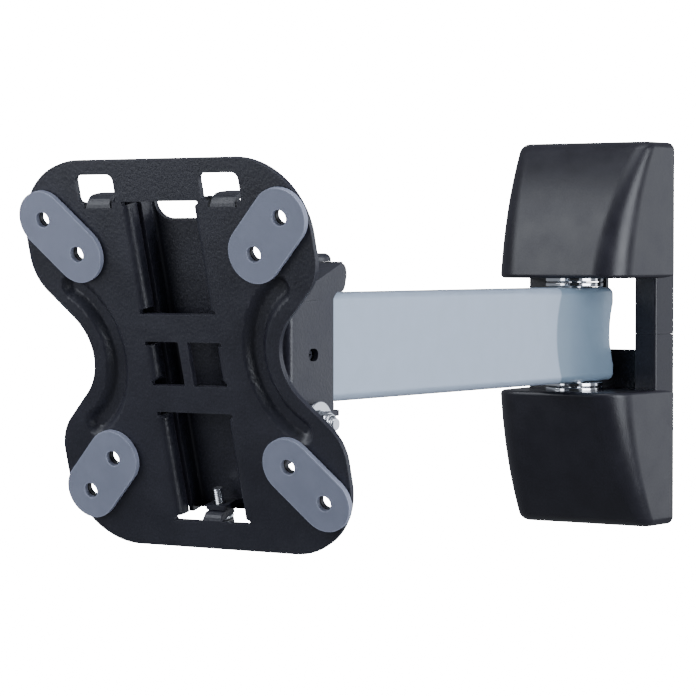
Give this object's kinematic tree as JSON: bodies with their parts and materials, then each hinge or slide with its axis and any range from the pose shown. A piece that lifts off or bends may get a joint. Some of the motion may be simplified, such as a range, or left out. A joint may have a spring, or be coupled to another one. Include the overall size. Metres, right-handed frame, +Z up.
{
  "type": "full motion tv wall mount",
  "caption": "Full motion TV wall mount: capped wall unit, swinging tube arm, swivel head and tilting hourglass VESA plate with spacer pads.",
  "frame": {"origin": "centre of the wall plate's back face, on the wall", "axes": "+X right facing the wall, +Y into the wall, +Z up; the mount reaches out along -Y"},
  "size_m": [0.1208, 0.3258, 0.1636],
  "materials": {
    "black_steel": "fine textured black powder coat",
    "silver_arm": "silver paint, semi gloss",
    "black_plastic": "moulded satin black",
    "grey_pad": "moulded matt grey",
    "chrome": "polished",
    "zinc": "bright zinc plate",
    "nylon": "dark nylon"
  },
  "bodies": {
    "wall": {"wall_plate": "black_steel", "upper_ear": "black_steel", "lower_ear": "black_steel", "upper_cover": "black_plastic", "lower_cover": "black_plastic", "swing_bolt": "zinc", "swing_bolt_washer": "zinc", "swing_nut_washer": "zinc", "swing_nut": "zinc", "upper_ring": "chrome", "lower_ring": "chrome"},
    "arm": {"arm_tube": "silver_arm", "arm_wall_sleeve": "zinc", "arm_tip_sleeve": "zinc", "upper_bush": "chrome", "lower_bush": "chrome", "arm_plug": "black_plastic"},
    "head": {"swivel_bracket": "black_steel", "swivel_bolt": "black_steel", "swivel_spacer": "zinc", "upper_friction_washer": "nylon", "lower_friction_washer": "nylon", "swivel_nut_washer": "zinc", "swivel_nut": "zinc", "swivel_grub_screw": "black_steel"},
    "tilt": {"tv_plate": "black_steel", "pad_upper_left": "grey_pad", "pad_upper_right": "grey_pad", "pad_lower_left": "grey_pad", "pad_lower_right": "grey_pad", "tilt_bracket": "black_steel", "tilt_bolt": "zinc", "tilt_nut": "zinc", "tilt_washer_right": "zinc", "tilt_washer_left": "zinc", "tilt_lock_washer": "zinc"},
    "lock": {"lock_screw": "zinc", "lock_washer": "zinc"}
  },
  "joints": [
    {"name": "arm_swing", "type": "hinge", "parent": "wall", "child": "arm", "pos_m": [0, -0.0275, 0], "axis": [0, 0, 1], "range_deg": [-90, 90]},
    {"name": "head_swivel", "type": "hinge", "parent": "arm", "child": "head", "pos_m": [0, -0.2274, 0], "axis": [0, 0, 1], "range_deg": [-90, 90]},
    {"name": "plate_tilt", "type": "hinge", "parent": "head", "child": "tilt", "pos_m": [0, -0.2526, -0.0263], "axis": [1, 0, 0], "range_deg": [-20, 0]},
    {"name": "lock_screw_slide", "type": "slide", "parent": "tilt", "child": "lock", "axis": [0, -0.2672, 0.9636], "range_m": [-0.008, 0]}
  ]
}
